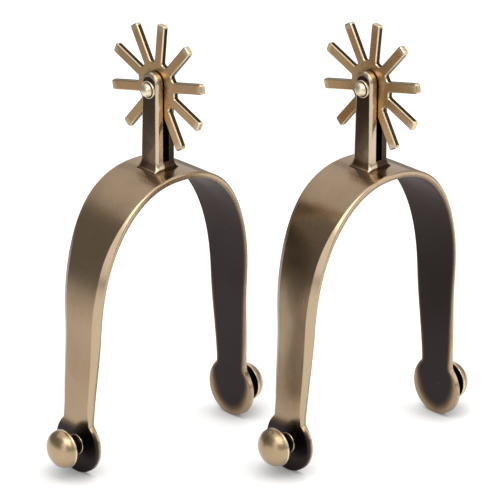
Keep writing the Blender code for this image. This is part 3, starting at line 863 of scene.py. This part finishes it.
def make_band_brass():
    """Band: pale satin outside, rubbed edges with painted highlights and glints, soot on the inside and round
    the buttons with painted shade and reflection on the pads' side walls, brown along the inside's edges
    where the soot thins out."""
    material, tree, shader = new_brass("band_aged_brass")
    shader.inputs["Specular Tint"].default_value = (0.75, 0.70, 0.68, 1.0)
    grain = use_group(tree, SATIN_GRAIN, -600, -400, Stretch=(1.0, 1.0, 0.08), Scale=1400.0, Pits=0.4)
    rub = broken(tree, attribute(tree, "rub", -900, 300), -300, 200,
                 clouds=0.55, scale=420.0, low=0.25, high=0.75)
    # Painted glints on the front bevel
    painted_glint = broken(tree, attribute(tree, "painted_glint", -900, 500), -300, 500,
                     clouds=1.5, scale=1500.0, low=0.95, high=1.15)
    rub = math_node(tree, "MAXIMUM", rub, painted_glint, -100, 350)
    flecks = math_node(tree, "MULTIPLY", grain["Speck"], attribute(tree, "inner", -900, 0), -400, -500)
    rub = math_node(tree, "MAXIMUM", rub, flecks, 50, 350)
    # Soot round the buttons and along the inner edge, with painted shade and painted reflection on the pads'
    # side walls
    smudge_and_shade = broken(tree, attribute(tree, "soot_and_shade", -900, 100), -400, 50,
                    clouds=0.35, scale=110.0, low=0.0, high=1.0)
    lining = broken(tree, attribute(tree, "lining", -900, -200), -400, -200,
                    clouds=0.16, scale=160.0, low=0.05, high=0.92)
    soot_and_shade = math_node(tree, "MAXIMUM", smudge_and_shade, lining, -150, 0)
    finish_brass(tree, shader, grain, bump=0.12,
                 Rub=rub, Soot=soot_and_shade, Tarnish=0.55, Roughness=0.23,
                 Satin=(0.365, 0.262, 0.168, 1), Brown=(0.31, 0.212, 0.125, 1),
                 Soot_Colour=(0.035, 0.028, 0.029, 1), Bright=(0.47, 0.355, 0.235, 1))
    return material


def make_shank_brass():
    """Shank: brown-black faces and slot, bright rubbed edges and front. The faces are painted darker towards
    the top and lighter at the foot's front, and the sides past the near tine are painted in shade: painted
    light and shade over the soot.
    """
    material, tree, shader = new_brass("shank_aged_brass")
    grain = use_group(tree, SATIN_GRAIN, -600, -400, Stretch=(1.0, 1.0, 0.10), Scale=1800.0, Pits=0.3)
    rub = broken(tree, attribute(tree, "rub", -900, 300), -300, 200,
                 clouds=0.4, scale=420.0, low=0.25, high=0.75)
    # Painted light: the outside faces are painted darker with height
    climb = attribute(tree, "climb", -900, -350)
    height = node(tree, "ShaderNodeMapRange", -750, -350,
                  inputs={"Value": climb, "To Min": 0.62, "To Max": 0.88})
    dark = math_node(tree, "MULTIPLY", attribute(tree, "face", -900, 0), height.outputs["Result"], -600, 0)
    dark = math_node(tree, "MAXIMUM", dark, attribute(tree, "slot", -900, -150), -450, 0)
    dark = math_node(tree, "MAXIMUM", dark, attribute(tree, "shaded", -900, -250), -300, 0)
    soot_and_shade = broken(tree, dark, -200, 0, clouds=0.35, scale=180.0, low=0.1, high=0.95)
    finish_brass(tree, shader, grain, bump=0.12,
                 Rub=rub, Soot=soot_and_shade, Tarnish=0.5, Roughness=0.24,
                 Satin=(0.42, 0.295, 0.175, 1), Brown=(0.26, 0.17, 0.09, 1),
                 Soot_Colour=(0.056, 0.036, 0.022, 1), Bright=(0.56, 0.45, 0.32, 1))
    return material


def make_rowel_brass():
    """Rowel: brown satin faces, pale rubbed bevels and tips, the sides between the points painted dark as
    shade, and painted shade on the hub between the tines.
    """
    material, tree, shader = new_brass("rowel_aged_brass")
    grain = use_group(tree, SATIN_GRAIN, -600, -400, Stretch=(1.0, 1.0, 1.0), Scale=1500.0, Pits=0.3)
    tip = attribute(tree, "tip", -900, 450)
    wall = attribute(tree, "wall", -900, 150)
    rub = math_node(tree, "SUBTRACT", attribute(tree, "rub", -900, 300), wall, -700, 300, clamp=True)
    rub = math_node(tree, "MAXIMUM", rub, tip, -550, 300)
    rub = broken(tree, rub, -300, 200, clouds=0.4, scale=420.0, low=0.25, high=0.75)
    # Painted shade: dark sides between the points and a darker hub between the tines
    dark = math_node(tree, "MULTIPLY", attribute(tree, "hub_shade", -900, 0), 0.55, -700, 0)
    dark = math_node(tree, "MAXIMUM", dark, wall, -550, 0)
    soot_and_shade = broken(tree, dark, -200, 0, clouds=0.3, scale=220.0, low=0.1, high=0.95)
    finish_brass(tree, shader, grain, bump=0.14,
                 Rub=rub, Soot=soot_and_shade, Tarnish=0.4, Roughness=0.26,
                 Satin=(0.56, 0.358, 0.178, 1), Brown=(0.44, 0.275, 0.133, 1),
                 Soot_Colour=(0.045, 0.029, 0.018, 1), Bright=(0.70, 0.56, 0.38, 1))
    return material


def make_pin_brass():
    """Pin: pale greenish brass with a dark crevice round the dome."""
    material, tree, shader = new_brass("pin_pale_brass")
    grain = use_group(tree, SATIN_GRAIN, -600, -400, Scale=1800.0, Pits=0.3)
    soot_and_shade = broken(tree, attribute(tree, "crevice", -900, 0), -200, 0,
                  clouds=0.3, scale=400.0, low=0.1, high=0.9)
    finish_brass(tree, shader, grain, bump=0.10,
                 Rub=attribute(tree, "rub", -900, 300), Soot=soot_and_shade, Tarnish=0.3,
                 Roughness=0.40, Satin=(0.80, 0.71, 0.53, 1), Brown=(0.66, 0.57, 0.40, 1),
                 Soot_Colour=(0.05, 0.035, 0.02, 1), Bright=(0.88, 0.80, 0.62, 1))
    return material


def make_button_brass():
    """Button: polished brass dome, pale rim, black underside and neck."""
    material, tree, shader = new_brass("button_polished_brass")
    grain = use_group(tree, SATIN_GRAIN, -600, -400, Scale=1500.0, Pits=0.3)
    soot_and_shade = broken(tree, attribute(tree, "soot_and_shade", -900, 0), -200, 0,
                  clouds=0.25, scale=250.0, low=0.1, high=0.9)
    finish_brass(tree, shader, grain, bump=0.08, roughening=0.10,
                 Rub=attribute(tree, "rub", -900, 300), Soot=soot_and_shade, Tarnish=0.45,
                 Roughness=0.26, Satin=(0.45, 0.333, 0.203, 1), Brown=(0.36, 0.252, 0.14, 1),
                 Soot_Colour=(0.020, 0.016, 0.015, 1), Bright=(0.72, 0.58, 0.40, 1))
    return material


def drill_pin_hole(shank, x, y):
    """Cuts the pin's hole through both tines with a fine cylinder along X."""
    angle = np.linspace(0.0, 2 * math.pi, 49)[:-1]
    reach = np.array([-FORK_HALF_WIDTH - 2.0, FORK_HALF_WIDTH + 2.0])
    ring = PIN_HOLE_RADIUS * np.stack([np.zeros_like(angle), np.cos(angle), np.sin(angle)], axis=-1)
    caps = np.stack([ring * 0.0, ring, ring, ring * 0.0])
    caps[:2, :, 0] = reach[0]
    caps[2:, :, 0] = reach[1]
    place = np.array([x, y, AXIS_HEIGHT])
    drill = piece(shank.name + "_drill", (caps + place) * MM, {})
    cut = shank.modifiers.new("pin_hole", "BOOLEAN")
    cut.object = drill
    cut.operation = "DIFFERENCE"
    cut.solver = "EXACT"
    graph = bpy.context.evaluated_depsgraph_get()
    drilled = bpy.data.meshes.new_from_object(shank.evaluated_get(graph))
    shank.modifiers.remove(cut)
    plain = shank.data
    shank.data = drilled
    drilled.name = plain.name + "_drilled"
    bpy.data.meshes.remove(plain)
    solid = drill.data
    bpy.data.objects.remove(drill)
    bpy.data.meshes.remove(solid)


band_brass = make_band_brass()
shank_brass = make_shank_brass()
rowel_brass = make_rowel_brass()
pin_brass = make_pin_brass()
button_brass = make_button_brass()

band_points, band_masks = band_surface()
shank_points, shank_masks = shank_surface()
rowel_points, rowel_masks = rowel_surface()
pin_points, pin_masks = pin_surface()
button_points, button_masks = button_surface()


def settle(made, body, node_name, material):
    """Gives a piece its finish and its body, and hides the CAD node that it stands for."""
    made.data.materials.append(material)
    face_weighted(made)
    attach(made, body)
    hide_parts(node_name)


for side, (stand_x, stand_y, outwards) in SPURS.items():
    stand = np.array([stand_x, stand_y, 0.0])
    spur_body = side + "_spur"
    band = piece(side + "_bent_band", (band_points + stand) * MM, band_masks)
    settle(band, spur_body, side + "_heel_band", band_brass)
    shank = piece(side + "_forked_post", (shank_points + stand) * MM, shank_masks)
    drill_pin_hole(shank, stand_x, stand_y)
    settle(shank, spur_body, side + "_shank", shank_brass)
    rowel = piece(side + "_ten_point_wheel", (rowel_points + stand) * MM, rowel_masks, closed_rows=True)
    settle(rowel, side + "_rowel", side + "_rowel", rowel_brass)
    pin = piece(side + "_stepped_rivet", (pin_points + stand) * MM, pin_masks)
    settle(pin, spur_body, side + "_rowel_pin", pin_brass)
    for where, facing in (("outer", outwards), ("inner", -outwards)):
        turned = button_points * np.array([facing, 1.0, 1.0])
        seat = stand + np.array([facing * PAD_PLANE, 0.0, PAD_HEIGHT])
        button = piece(side + "_" + where + "_domed_stud", (turned + seat) * MM, button_masks)
        settle(button, spur_body, side + "_" + where + "_button", button_brass)


def pale_floor():
    """A wide pale floor that keeps the object's shadow, deepened where things stand close to it. A little
    glow lifts what camera, glossy and transmission rays see of it to white. In the metal that white is a
    pool of light in front of the object, which fades out behind it like a sheet of pale paper on a grey
    table."""
    mesh = bpy.data.meshes.new("studio_floor")
    reach = FLOOR_REACH
    corners = [(-reach, -reach, 0.0), (reach, -reach, 0.0), (reach, reach, 0.0), (-reach, reach, 0.0)]
    mesh.from_pydata(corners, [], [(0, 1, 2, 3)])
    floor = bpy.data.objects.new("studio_floor", mesh)
    bpy.context.scene.collection.objects.link(floor)
    material = bpy.data.materials.new("pale_floor_paint")
    material.use_nodes = True
    tree = material.node_tree
    tree.nodes.clear()
    close = node(tree, "ShaderNodeAmbientOcclusion", -1100, 300, samples=12,
                 inputs={"Distance": CONTACT_REACH})
    shade = node(tree, "ShaderNodeMapRange", -900, 300,
                 inputs={"Value": close.outputs["AO"], "From Min": 0.25, "From Max": 0.92,
                         "To Min": CONTACT_SHADE})
    place = node(tree, "ShaderNodeTexCoord", -1400, 0)
    away = node(tree, "ShaderNodeVectorMath", -1200, 0, operation="DISTANCE")
    away.inputs[1].default_value = POOL_MIDDLE
    tree.links.new(place.outputs["Object"], away.inputs[0])
    fade = node(tree, "ShaderNodeMapRange", -1000, 0, interpolation_type="SMOOTHSTEP",
                inputs={"Value": away.outputs["Value"], "From Min": POOL_RADIUS, "From Max": POOL_EDGE,
                        "To Min": 1.0, "To Max": POOL_OUTSIDE})
    ray = node(tree, "ShaderNodeLightPath", -1400, -300).outputs
    mirrored = math_node(tree, "MAXIMUM", ray["Is Glossy Ray"], ray["Is Transmission Ray"], -1150, -300)
    pool = mix_colour(tree, mirrored, (1.0, 1.0, 1.0, 1.0), fade.outputs["Result"], -800, 0)
    level = mix_colour(tree, 1.0, pool, shade.outputs["Result"], -600, 100)
    level.node.blend_type = "MULTIPLY"
    colour = mix_colour(tree, 1.0, level, FLOOR_TONE, -400, 150)
    colour.node.blend_type = "MULTIPLY"
    paint = node(tree, "ShaderNodeBsdfDiffuse", -200, 100, inputs={"Color": colour})
    seen = math_node(tree, "MAXIMUM", ray["Is Camera Ray"], mirrored, -600, -300)
    lift = math_node(tree, "MULTIPLY", seen, FLOOR_GLOW, -400, -300)
    glow = node(tree, "ShaderNodeEmission", -200, -100, inputs={"Color": level, "Strength": lift})
    both = node(tree, "ShaderNodeAddShader", 50, 0)
    tree.links.new(paint.outputs["BSDF"], both.inputs[0])
    tree.links.new(glow.outputs["Emission"], both.inputs[1])
    node(tree, "ShaderNodeOutputMaterial", 250, 0, inputs={"Surface": both.outputs["Shader"]})
    mesh.materials.append(material)


def soft_box(name, place, aim, width, depth, radiance, colour, lights_floor=True):
    """A soft box of the given brightness as seen in a mirror: power = radiance x pi x area. One that does
    not light the floor gives highlights on the metal only."""
    lamp = bpy.data.lights.new(name, "AREA")
    lamp.shape = "RECTANGLE"
    lamp.size = width
    lamp.size_y = depth
    lamp.energy = radiance * math.pi * width * depth
    lamp.color = colour
    box = bpy.data.objects.new(name, lamp)
    box.location = place
    box.rotation_euler = (Vector(aim) - Vector(place)).to_track_quat("-Z", "Y").to_euler()
    box.visible_camera = False
    box.visible_diffuse = lights_floor
    bpy.context.scene.collection.objects.link(box)


def studio_surround():
    """A grey surround, darker towards the back left: the dot product of the direction and the dark side's own
    direction mixes the two greys."""
    world = bpy.data.worlds.new("studio_surround")
    bpy.context.scene.world = world
    world.use_nodes = True
    tree = world.node_tree
    place = node(tree, "ShaderNodeTexCoord", -800, 0)
    towards = node(tree, "ShaderNodeVectorMath", -600, 0, operation="DOT_PRODUCT")
    towards.inputs[1].default_value = Vector(DARK_SIDE).normalized()
    tree.links.new(place.outputs["Generated"], towards.inputs[0])
    share = node(tree, "ShaderNodeMapRange", -400, 0, interpolation_type="SMOOTHSTEP",
                 inputs={"Value": towards.outputs["Value"], "From Min": 0.25, "From Max": 0.9})
    grey = mix_colour(tree, share.outputs["Result"], SURROUND_GREY, SURROUND_DARK, -200, 0)
    tree.links.new(grey, tree.nodes["Background"].inputs["Color"])


def photo_camera():
    """A long lens at the photograph's angle: back, right and up from azimuth and elevation, then a slight
    roll."""
    azimuth = math.radians(-43.76)
    elevation = math.radians(22.258)
    roll = math.radians(0.798)
    distance = 1.9747
    aim_height = 0.082452
    sideways = -0.005052
    focal_pixels = 5000.0
    image_pixels = 500.0
    back = Vector((
        math.sin(azimuth) * math.cos(elevation),
        -math.cos(azimuth) * math.cos(elevation),
        math.sin(elevation),
    ))
    right = Vector((math.cos(azimuth), math.sin(azimuth), 0.0))
    up = back.cross(right)
    spot = Vector((0.0, 0.0, aim_height)) + back * distance + right * sideways
    rolled_right = right * math.cos(roll) + up * math.sin(roll)
    rolled_up = up * math.cos(roll) - right * math.sin(roll)
    lens = bpy.data.cameras.new("photo_camera")
    lens.sensor_width = 36.0
    lens.lens = focal_pixels / image_pixels * lens.sensor_width
    camera = bpy.data.objects.new("photo_camera", lens)
    bpy.context.scene.collection.objects.link(camera)
    placed = Matrix((rolled_right, rolled_up, back)).transposed().to_4x4()
    placed.translation = spot
    camera.matrix_world = placed
    bpy.context.scene.camera = camera


pale_floor()
soft_box("overhead_soft_box", (-0.10, 0.21, 1.30), (-0.10, 0.21, 0.0),
         width=2.1, depth=2.42, radiance=0.70, colour=SOFT_LIGHT)
soft_box("back_right_fill", (1.5, 1.5, 0.75), SPUR_MIDDLE,
         width=1.6, depth=1.0, radiance=0.55, colour=WHITE_LIGHT)
soft_box("left_window", (-1.5, -0.40, 0.70), (0.0, 0.10, 0.70),
         width=0.8, depth=1.4, radiance=0.95, colour=COOL_LIGHT)
soft_box("left_high_lamp", (-0.50, -0.66, 1.15), SPUR_MIDDLE,
         width=1.45, depth=1.1, radiance=2.1, colour=WARM_LIGHT, lights_floor=False)
soft_box("front_right_key", (0.95, -1.12, 0.85), SPUR_MIDDLE,
         width=0.9, depth=1.3, radiance=1.15, colour=WARM_LIGHT)
studio_surround()
photo_camera()
bpy.context.scene.view_settings.view_transform = "Standard"
